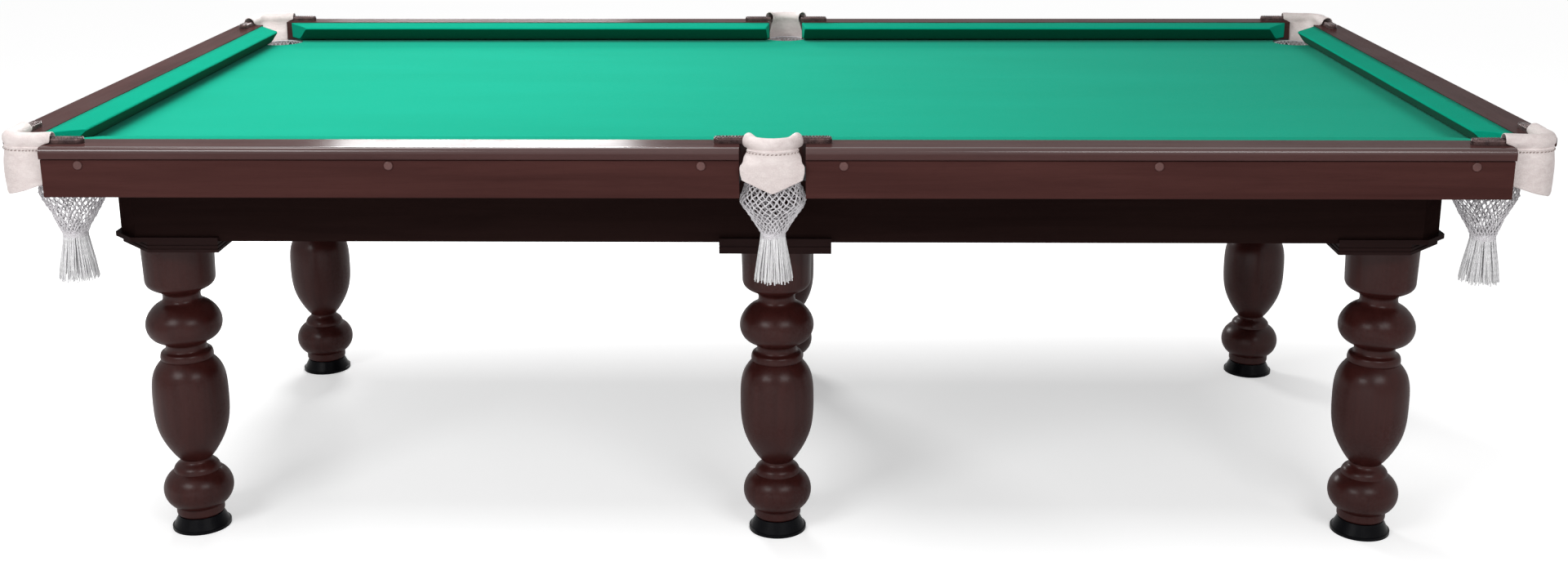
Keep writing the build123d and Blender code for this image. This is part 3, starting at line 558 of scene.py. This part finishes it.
def bed_sheet():
    """The cloth over the slates, turned down into each pocket."""
    quarter = bed_outline()
    mirrored = [Vector((-p.x, p.y, 0)) for p in reversed(quarter)]
    half = quarter + mirrored[1:]
    outline = half + [Vector((-p.x, -p.y, 0)) for p in half[1:-1]]
    pile = Pile()
    rows = []
    for inset, drop in ((0.0030, 0.0), (0.0016, 0.0004), (0.0006, 0.0014), (0.0, 0.0034), (0.0, 0.0062)):
        lift = Vector((0, 0, BED - drop))
        rows.append([inset_point(outline, index, inset) + lift for index in range(len(outline))])
    pile.cap(rows[0])
    pile.skin(list(reversed(rows)), True)
    sheet = pile.piece("bed_cloth_sheet", BED_CLOTH)
    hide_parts("bed_cloth")


def inset_point(outline, index, inset):
    """A point of a plan outline moved inwards from both its sides."""
    before, point = outline[index - 1], outline[index]
    after = outline[(index + 1) % len(outline)]
    first, second = (point - before).normalized(), (after - point).normalized()
    inwards = Vector((-first.y - second.y, first.x + second.x, 0))
    if inwards.length < 1e-6:
        return point.copy()
    inwards.normalize()
    spread = max(abs(inwards.dot(Vector((-first.y, first.x, 0)))), 0.5)
    return point + inwards * (inset / spread)


# Cushions

def cushion_outline():
    """Half section of a cushion cover: how far behind the nose, and how high over the bed."""
    line = [(0.0545, 0.0420), (0.0400, 0.0407), (0.0220, 0.0391), (0.0080, 0.0378), (0.0032, 0.0372)]
    for turn in (75, 50, 25, 0, -25):
        angle = math.radians(turn)
        line.append((0.0031 - 0.0031 * math.cos(angle), 0.0340 + 0.0031 * math.sin(angle)))
    line += [(0.0032, 0.0292), (0.0105, 0.0207), (0.0180, 0.0120), (0.0232, 0.0062), (0.0262, 0.0042)]
    return line + [(0.0330, 0.0040), (0.0545, 0.0040)]


def cushion_cover(nose, wood, flip):
    """Cover stretched along a cushion, with rounded and slightly full ends at the jaws."""
    section = cushion_outline()
    middle = Vector([sum(values) / len(section) for values in zip(*section)])
    steps = [(0.0, 0.90), (0.0006, 0.965), (0.0018, 0.993), (0.0040, 1.0)]
    rounded = steps[-1][0]
    length = min(nose[1] - nose[0], wood[1] - wood[0])
    count = 36
    stations = [(distance, scale, True) for distance, scale in steps]
    stations += [(lerp(rounded, length - rounded, i / count), 1.0, False) for i in range(1, count)]
    stations += [(length - distance, scale, True) for distance, scale in reversed(steps)]
    rows = []
    for distance, scale, at_end in stations:
        share = distance / length
        row = []
        for depth, height in section:
            depth = middle.x + (depth - middle.x) * scale
            height = middle.y + (height - middle.y) * scale
            back = depth / CUSHION_DEPTH
            along = lerp(lerp(nose[0], wood[0], back), lerp(nose[1], wood[1], back), share)
            soft = 0.0003 * noise.noise(Vector((along * 9, height * 40, depth * 40)))
            if at_end:
                soft += math.sin(height * 900) * 0.0004 * (1 - scale) * 10
            row.append(Vector((along, depth + soft, BED + height + soft)))
        rows.append(row)
    pile = Pile()
    pile.skin(rows, True)
    pile.cap(list(reversed(rows[0])))
    pile.cap(rows[-1])
    if flip:
        pile.faces = [tuple(reversed(f)) for f in pile.faces]
        pile.lays = [tuple(reversed(f)) for f in pile.lays]
    return pile


def cushions():
    """Six covers: both halves of both long sides, then both ends."""
    mouth = CORNER_MOUTH / math.sqrt(2)
    seat = math.sqrt(RAIL_THROAT**2 - (WOOD_X - CORNER_X) ** 2)
    side_seat = math.sqrt(RAIL_THROAT**2 - (SIDE_Y - WOOD_Y) ** 2)
    long_nose, long_wood = (SIDE_MOUTH / 2, NOSE_X - mouth), (side_seat, CORNER_X - seat)
    end_nose = (-(NOSE_Y - mouth), NOSE_Y - mouth)
    end_wood = (-(CORNER_Y - seat), CORNER_Y - seat)
    made = []
    for x_name, x_side in (("left", -1), ("right", 1)):
        for y_name, y_side in (("front", -1), ("back", 1)):
            pile = cushion_cover(long_nose, long_wood, x_side * y_side < 0)
            pile.points = [Vector((x_side * p.x, y_side * (NOSE_Y + p.y), p.z)) for p in pile.points]
            made.append(pile.piece(f"cushion_cover_{y_name}_{x_name}", CUSHION_CLOTH))
        pile = cushion_cover(end_nose, end_wood, x_side > 0)
        pile.points = [Vector((x_side * (NOSE_X + p.y), p.x, p.z)) for p in pile.points]
        made.append(pile.piece(f"cushion_cover_{x_name}_end", CUSHION_CLOTH))
    for cover in made:
        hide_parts("cushion_cloths")


# Pocket leathers

def bow_point(kind, along, out, z):
    """A place at a distance along a bow from its middle, and outwards from its line."""
    if kind == "side":
        return polar(SIDE_BOW + out, along / SIDE_BOW, z)
    bend = min(abs(along) / CORNER_BEND, math.pi / 4)
    run = max(abs(along) - CORNER_BEND * math.pi / 4, 0.0)
    reach = CORNER_BEND + out
    x = CORNER_STRAIGHT * math.sqrt(2) + reach * math.cos(bend) - run * math.sin(bend)
    return Vector((x, math.copysign(reach * math.sin(bend) + run * math.cos(bend), along), z))


def lining_point(kind, share, z):
    """A place on the lining, its share of the half width, between the net's rim and the roll."""
    lines = LEATHERS[kind]
    turn = LINING_TURN if kind == "corner" else lines["lining"] / SIDE_BOW
    rim = polar(NET_RIM - 0.0006, share * turn, z)
    high = (z - NET_TOP) / (RAIL_TOP - NET_TOP)
    return rim.lerp(bow_point(kind, share * lines["lining"], 0.0035 - lines["roll"], z), high)


def roll_rows(kind, shares):
    """Rows of the roll from its inside over the top to the seam; its ends lie a little higher."""
    lines = LEATHERS[kind]
    roll = lines["roll"]
    rows = []
    for turn in range(200, -41, -15):
        angle = math.radians(turn)
        z = IRON_Z + roll * math.sin(angle)
        free = z > RAIL_TOP + 0.0012 or kind == "side"
        reach = lines["over"] if free else lines["lining"]
        horn = lines["horn"] * max(math.sin(angle), 0.0)
        rows.append([bow_point(kind, s * reach, roll * math.cos(angle),
                               z + horn * blend_share(0.55, 1.0, abs(s))) for s in shares])
    out, z = SEAM_OUT * roll, IRON_Z - SEAM_DOWN * roll
    for step_out, step_z in SEAM_FOLD:
        rows.append([bow_point(kind, s * lines["seam"], out + step_out, z - step_z) for s in shares])
    return rows


def flap_point(kind, share, reach, out, z, down):
    """A place on the flap; a side flap opens out as it hangs, until it lies over the rails' ends."""
    round_bow = bow_point(kind, share * reach, out, z)
    if kind == "corner":
        return round_bow
    half = lerp(0.0500, 0.0568, blend_share(0.25, 0.50, down)) - 0.0030 * blend_share(0.7, 1.0, down)
    open_flap = Vector((SIDE_BOW + out - 0.0070 * share * share, share * half, z))
    return round_bow.lerp(open_flap, blend_share(0.0, 0.38, down))


def flap_rows(kind, shares, count):
    """Rows of the flap from the seam down to its pointed edge."""
    lines = LEATHERS[kind]
    roll = lines["roll"]
    fold_out, fold_down = SEAM_FOLD[-1]
    seam_out, seam_z = SEAM_OUT * roll + fold_out, IRON_Z - SEAM_DOWN * roll - fold_down
    rows = []
    for step in range(1, count + 1):
        down = step / count
        full = math.sin(math.pi * min(down * 1.15, 1.0)) ** 0.8
        reach = lerp(lines["seam"], lines["flap"], blend_share(0.0, 0.4, down))
        reach -= 0.0022 * blend_share(0.6, 1.0, down)
        out = lerp(seam_out, roll, blend_share(0.0, 0.45, down)) + 0.0016 * full
        row = []
        for share in shares:
            edge = IRON_Z - lines["drop"] + lines["rise"] * abs(share)
            row.append(flap_point(kind, share, reach, out, lerp(seam_z, edge, down), down))
        rows.append(row)
    return rows


def leather_cover(name, kind, place, seed):
    """Leather rolled round the bow, stitched under it, with a pointed flap hanging outside."""
    columns = 40
    shares = [1 - 2 * column / columns for column in range(columns + 1)]
    rows = [[lining_point(kind, s, z) for s in shares] for z in LINING_HEIGHTS]
    rows += roll_rows(kind, shares) + flap_rows(kind, shares, 16)
    drift = Vector((seed * 3.1, seed * 1.7, 0))
    seam_z = IRON_Z - SEAM_DOWN * LEATHERS[kind]["roll"] - 0.004
    points = []
    for row in rows:
        line = []
        for share, base in zip(shares, row):
            wave = noise.noise(base * 22 + drift) * 0.0012 + noise.noise(base * 70 + drift) * 0.0004
            near_seam = 1 - min(abs(base.z - seam_z) / 0.010, 1.0)
            pucker = math.sin(share * columns * 1.3) * 0.0003 * near_seam
            outwards = Vector((base.x, base.y, 0)).normalized()
            line.append(base + outwards * (wave + pucker) + Vector((0, 0, 0.4 * wave)))
        points.append(line)
    pile = Pile()
    pile.skin(points)
    cover = pile.piece(f"leather_cover_{name}", LEATHER, place)
    hide = cover.modifiers.new("hide", "SOLIDIFY")
    hide.thickness = HIDE
    hide.offset = -1.0
    hide.use_rim = True
    soft = cover.modifiers.new("soft", "SUBSURF")
    soft.levels = soft.render_levels = 1
    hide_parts(f"pocket_leather_{name}")
    stitches(name, kind, place)


def stitches(name, kind, place):
    """Thread along the seam under the roll."""
    half, roll = LEATHERS[kind]["seam"], LEATHERS[kind]["roll"]
    out, z = SEAM_OUT * roll + 0.0020, IRON_Z - SEAM_DOWN * roll - 0.0064
    count = int(2 * half / STITCH_PITCH)
    pile = Pile()
    for index in range(count):
        middle = lerp(-half, half, (index + 0.5) / count)
        path = [bow_point(kind, middle + 0.0017 * t, out + 0.0011 - 0.0012 * t * t, z + 0.0006 * t)
                for t in (-1.0, -0.6, 0.0, 0.6, 1.0)]
        pile.tube(path, STITCH_RADII, 6)
    thread = pile.piece(f"seam_stitches_{name}", STITCH_THREAD, place)
    return thread


# Nets and tassels

def bag_radius(z, waist):
    """Outside of a hanging net: straight in the slate, full under it, then in to the waist."""
    if z >= SLATE_BOTTOM:
        return NET_RIM - 0.0016
    if z >= BULGE_Z:
        return lerp(NET_RIM - 0.0016, BULGE_RADIUS, blend_share(SLATE_BOTTOM, BULGE_Z, z))
    share = (BULGE_Z - z) / (BULGE_Z - waist)
    return lerp(BULGE_RADIUS, WAIST_RADIUS, share**1.25 * (1.35 - 0.35 * share))


def net_bag(name, place, waist, seed):
    """Knotted bag of crossed strands with a rim cord, bound at the waist."""
    chance = random.Random(seed)
    pile = Pile()
    knots = []
    for band in range(NET_BANDS + 1):
        share = band / NET_BANDS
        loose = 0 < band < NET_BANDS
        row = []
        for column in range(NET_COLUMNS):
            angle = math.tau * (column + 0.5 * (band % 2)) / NET_COLUMNS
            angle += chance.uniform(-0.045, 0.045) * loose
            z = lerp(NET_TOP + 0.002, waist, share**0.94) + chance.uniform(-0.0018, 0.0018) * loose
            radius = bag_radius(z, waist) + chance.uniform(-0.0014, 0.0006)
            sag = 0.006 * blend_share(waist, BULGE_Z - 0.03, z)
            sag *= 1 - blend_share(BULGE_Z, SLATE_BOTTOM, z)
            row.append(polar(radius, angle, z) - Vector((sag, 0, 0)))
        knots.append(row)
    for band in range(NET_BANDS):
        for column in range(NET_COLUMNS):
            for step in (0, 1):
                other = (column + step - (1 - band % 2)) % NET_COLUMNS
                strand(pile, knots[band][column], knots[band + 1][other], chance)
    rim = knots[0] + knots[0][:2]
    pile.tube(rim, [0.0015] * len(rim), 6, capped=False)
    bind = []
    for index in range(BIND_TURNS * BIND_STEPS + 1):
        share = index / (BIND_TURNS * BIND_STEPS)
        angle = math.tau * BIND_TURNS * share
        wobble = 0.0005 * math.sin(7 * angle + seed)
        z = waist + lerp(BIND_HALF, -BIND_HALF, share)
        bind.append(polar(WAIST_RADIUS + 0.0008 + wobble, angle, z))
    pile.tube(bind, [0.0014] * len(bind), 6)
    bag = pile.piece(f"net_bag_{name}", NET_YARN, place)
    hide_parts(f"pocket_net_{name}")


def strand(pile, start, end, chance):
    """A strand between two knots, thick at both and slack between them."""
    slack = Vector((chance.uniform(-0.0008, 0.0008), chance.uniform(-0.0008, 0.0008), -0.0005))
    path = [start.lerp(end, t) + slack * (4 * t * (1 - t)) for t in (0.0, 0.25, 0.75, 1.0)]
    outwards = Vector((start.x, start.y, 0)).normalized()
    thick = chance.uniform(0.9, 1.15)
    pile.tube(path, [thick * r for r in (0.0020, 0.0012, 0.0012, 0.0020)], 4, capped=False, up=outwards)


def tassel(name, place, waist, seed):
    """Loose yarns hanging from the binding, spread out towards their uneven ends."""
    chance = random.Random(seed + 50)
    pile = Pile()
    for count, inner, outer in TASSEL_RINGS:
        for index in range(count):
            angle = math.tau * (index + chance.uniform(-0.4, 0.4)) / count
            top, foot = WAIST_RADIUS * inner, TASSEL_SPREAD * outer
            length = TASSEL_LENGTH * chance.uniform(0.9, 1.0)
            lean, swing = chance.uniform(-0.12, 0.12), chance.uniform(-0.0014, 0.0014)
            phase = chance.uniform(0, math.tau)
            path = []
            for step in range(TASSEL_STEPS):
                share = step / (TASSEL_STEPS - 1)
                open_share = 0.25 * share + 0.75 * blend_share(0.0, 1.15, share)
                radius = lerp(top, foot, open_share) + swing * math.sin(2.6 * share + phase)
                sway = lean * share + 0.03 * math.sin(4.2 * share + phase) * share
                z = waist + TASSEL_TUCK - (length + TASSEL_TUCK) * share
                path.append(polar(radius, angle + sway, z))
            thick = chance.uniform(0.0010, 0.0015)
            radii = [thick * (1 - 0.2 * abs(2 * step / (TASSEL_STEPS - 1) - 1))
                     for step in range(TASSEL_STEPS)]
            pile.tube(path, radii, 4)
    yarns = pile.piece(f"net_tassel_{name}", TASSEL_YARN, place)
    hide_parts(f"pocket_net_{name}")


# Relief on the iron arms

def arm_relief(name, kind, place):
    """Beaded border and a notched rib cast on both arms of an iron."""
    pile = Pile()
    start, end = ARMS[kind]
    z = IRON_TOP - RELIEF_SINK
    for side in (1, -1):
        seat = Matrix.Identity(4)
        if kind == "corner":
            seat = Matrix.Rotation(side * math.pi / 4, 4, "Z") @ Matrix.Translation((CORNER_BOW, 0, 0))
        beads = arm_border(start, end, BEAD_REACH)
        path = [seat @ Vector((across, side * along, z)) for along, across in beads]
        radii = [0.0008 + 0.0011 * abs(math.sin(math.pi * index / 4)) for index in range(len(path))]
        pile.tube(path, radii, 6)
        path, radii = [], []
        for index in range(RIB_STEPS + 1):
            share = index / RIB_STEPS
            path.append(seat @ Vector((0, side * lerp(start, end - 0.0075, share), z)))
            leaf = math.sin(math.pi * (0.12 + 0.85 * share)) ** 0.6
            radii.append(0.0034 * leaf * (0.72 + 0.28 * abs(math.sin(math.pi * index / 5))))
        pile.tube(path, radii, 10, squash=0.72, up=Vector((0, 0, 1)))
    relief = pile.piece(f"iron_relief_{name}", IRON, place)


def arm_border(start, end, reach):
    """Line of the beads round the top of an arm, about one millimetre apart."""
    straight = end - 0.010
    out = [(lerp(start, straight, i / 30), -reach) for i in range(30)]
    bend = [(straight + reach * math.sin(math.pi * i / 26), -reach * math.cos(math.pi * i / 26))
            for i in range(27)]
    return out + bend + [(along, -across) for along, across in reversed(out)]


bed_sheet()
cushions()
for seed, (name, kind, place) in enumerate(pockets()):
    leather_cover(name, kind, place, seed)
    net_bag(name, place, WAIST_Z[kind], seed)
    tassel(name, place, WAIST_Z[kind], seed)
    arm_relief(name, kind, place)


# Stage, light and camera

def stage_finish():
    """Pale floor that is white to the camera and keeps the table's shadow, with a painted shadow where it
    glows less under the table.
    """
    material, tree, shader = finish("pale_floor", Specular_IOR_Level=0.0, Roughness=0.9)
    tone = speckle(tree, object_place(tree), 0.6, 2.0)
    feed(tree, shader["Base Color"], mixed(tree, tone, (0.86, 0.86, 0.86, 1), (0.90, 0.90, 0.90, 1)))
    rays = add(tree, "LightPath").outputs
    seen = calc(tree, "MAXIMUM", rays["Is Camera Ray"], rays["Is Glossy Ray"])
    axes = add(tree, "SeparateXYZ", {0: object_place(tree)}).outputs
    # Painted shadow: the glow is lower in a soft-edged patch under the table than round it.
    ahead = ranged(tree, calc(tree, "ABSOLUTE", axes[1]), 0.35, 0.75, FLOOR_SHADOW_GLOW, FLOOR_FAR)
    beside = ranged(tree, calc(tree, "ABSOLUTE", axes[0]), 1.0, 1.7, FLOOR_SHADOW_GLOW, FLOOR_FAR)
    glow = calc(tree, "MAXIMUM", ahead, beside)
    feed(tree, shader["Emission Color"], (1, 1, 1, 1))
    feed(tree, shader["Emission Strength"], calc(tree, "MULTIPLY", seen, glow))
    return material


def floor():
    """A wide flat floor under the table."""
    mesh = bpy.data.meshes.new("studio_floor")
    mesh.from_pydata([(-40, -30, 0), (40, -30, 0), (40, 60, 0), (-40, 60, 0)], [], [(0, 1, 2, 3)])
    mesh.materials.append(stage_finish())
    made = bpy.data.objects.new("studio_floor", mesh)
    bpy.context.scene.collection.objects.link(made)


def studio_world():
    """Soft even light that the camera, reflections and clear things see as white."""
    world = bpy.data.worlds.new("studio")
    world.use_nodes = True
    tree = world.node_tree
    tree.nodes.clear()
    rays = add(tree, "LightPath").outputs
    seen = calc(tree, "MAXIMUM", rays["Is Camera Ray"], rays["Is Glossy Ray"])
    seen = calc(tree, "MAXIMUM", seen, rays["Is Transmission Ray"])
    lit = add(tree, "Background", {"Color": (1, 1, 1, 1), "Strength": 0.3}).outputs[0]
    white = add(tree, "Background", {"Color": (1, 1, 1, 1), "Strength": 1.0}).outputs[0]
    sky = add(tree, "MixShader", {0: seen, 1: lit, 2: white}).outputs[0]
    add(tree, "OutputWorld", {"Surface": sky})
    bpy.context.scene.world = world


def softbox(name, place, target, size, power):
    """A wide lamp at a place, turned towards its target."""
    lamp = bpy.data.lights.new(name, "AREA")
    lamp.shape = "RECTANGLE"
    lamp.size, lamp.size_y = size
    lamp.energy = power
    made = bpy.data.objects.new(name, lamp)
    made.location = place
    made.rotation_euler = (Vector(target) - Vector(place)).to_track_quat("-Z", "Y").to_euler()
    made.visible_camera = False
    bpy.context.scene.collection.objects.link(made)


def photo_camera():
    """The photo's own viewpoint, fitted to the table's corners, feet and pockets."""
    lens = bpy.data.cameras.new("photo_camera")
    lens.sensor_width = 36
    lens.lens = 39.238
    lens.shift_y = -0.07
    lens.clip_end = 200
    made = bpy.data.objects.new("photo_camera", lens)
    made.location = (0.0717, -3.6378, 1.5052)
    made.rotation_euler = (math.radians(76.047), math.radians(0.157), math.radians(0.984))
    bpy.context.scene.collection.objects.link(made)
    bpy.context.scene.camera = made


floor()
studio_world()
softbox("overhead_key", (-1.0, 0.1, 2.6), (-0.9, 0.0, 0.8), (1.8, 1.0), 34)
softbox("front_left", (-2.3, -3.3, 2.7), (-0.4, 0.0, 0.5), (1.7, 1.1), 55)
softbox("front_right", (1.6, -3.3, 2.7), (0.2, 0.0, 0.5), (1.7, 1.1), 42)
softbox("front_low", (-0.9, -3.6, 0.42), (-0.2, 0.0, 0.42), (3.2, 0.6), 6)
softbox("back_glow", (-1.3, 3.3, 1.82), (-0.8, 0.0, 0.8), (1.2, 0.7), 62)
photo_camera()
bpy.context.scene.view_settings.view_transform = "Standard"
